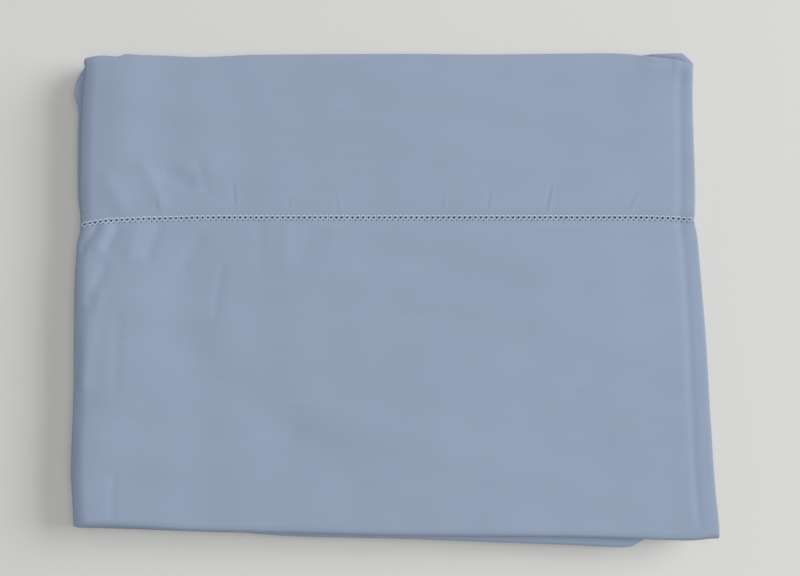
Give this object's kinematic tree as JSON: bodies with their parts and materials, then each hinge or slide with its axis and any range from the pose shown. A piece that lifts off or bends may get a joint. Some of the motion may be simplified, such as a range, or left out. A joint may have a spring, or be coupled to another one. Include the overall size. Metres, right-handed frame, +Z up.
{
  "type": "folded flat bed sheet",
  "caption": "Pale blue flat bed sheet with a deep hemstitched head hem, folded into a flat package that opens leaf by leaf.",
  "frame": {"origin": "middle of the folded package's footprint, on the surface that it lies on", "axes": "+X along the folded edges, with the side folds at -X and the selvedges at +X; +Y from the near folded edge towards the head hem; +Z up out of the stack"},
  "size_m": [0.4128, 0.316, 0.0245],
  "materials": {
    "sheet_cloth": "matt plain-weave cotton, pale grey blue",
    "hem_cloth": "doubled plain-weave cotton, pale grey blue",
    "hemstitch_thread": "mercerised cotton thread, off-white blue"
  },
  "bodies": {
    "foot_leaf": {"foot_leaf_cloth": "sheet_cloth", "foot_hem": "hem_cloth", "fold_7_8": "sheet_cloth"},
    "leaf_7": {"leaf_7_cloth": "sheet_cloth", "fold_6_7": "sheet_cloth"},
    "leaf_6": {"leaf_6_cloth": "sheet_cloth", "fold_5_6": "sheet_cloth"},
    "leaf_5": {"leaf_5_cloth": "sheet_cloth", "fold_4_5": "sheet_cloth"},
    "leaf_4": {"leaf_4_cloth": "sheet_cloth", "fold_3_4": "sheet_cloth"},
    "leaf_3": {"leaf_3_cloth": "sheet_cloth", "fold_2_3": "sheet_cloth"},
    "leaf_2": {"leaf_2_cloth": "sheet_cloth", "fold_1_2": "sheet_cloth"},
    "head_leaf": {"head_leaf_cloth": "sheet_cloth", "hemstitch_row": "hemstitch_thread", "head_hem": "hem_cloth"}
  },
  "joints": [
    {"name": "fold_7_8_opens", "type": "hinge", "parent": "foot_leaf", "child": "leaf_7", "pos_m": [0, -0.1533, 0.00285], "axis": [1, 0, 0], "range_deg": [0, 180], "deforming": ["fold_7_8"]},
    {"name": "fold_6_7_opens", "type": "hinge", "parent": "leaf_7", "child": "leaf_6", "pos_m": [0, 0.149, 0.00585], "axis": [-1, 0, 0], "range_deg": [0, 180], "deforming": ["fold_6_7"]},
    {"name": "fold_5_6_opens", "type": "hinge", "parent": "leaf_6", "child": "leaf_5", "pos_m": [0, -0.158, 0.00885], "axis": [1, 0, 0], "range_deg": [0, 180], "deforming": ["fold_5_6"]},
    {"name": "fold_4_5_opens", "type": "hinge", "parent": "leaf_5", "child": "leaf_4", "pos_m": [0, 0.1525, 0.01185], "axis": [-1, 0, 0], "range_deg": [0, 180], "deforming": ["fold_4_5"]},
    {"name": "fold_3_4_opens", "type": "hinge", "parent": "leaf_4", "child": "leaf_3", "pos_m": [0, -0.158, 0.01485], "axis": [1, 0, 0], "range_deg": [0, 180], "deforming": ["fold_3_4"]},
    {"name": "fold_2_3_opens", "type": "hinge", "parent": "leaf_3", "child": "leaf_2", "pos_m": [0, 0.1555, 0.01785], "axis": [-1, 0, 0], "range_deg": [0, 180], "deforming": ["fold_2_3"]},
    {"name": "fold_1_2_opens", "type": "hinge", "parent": "leaf_2", "child": "head_leaf", "pos_m": [0, -0.1533, 0.02085], "axis": [1, 0, 0], "range_deg": [0, 180], "deforming": ["fold_1_2"]}
  ]
}
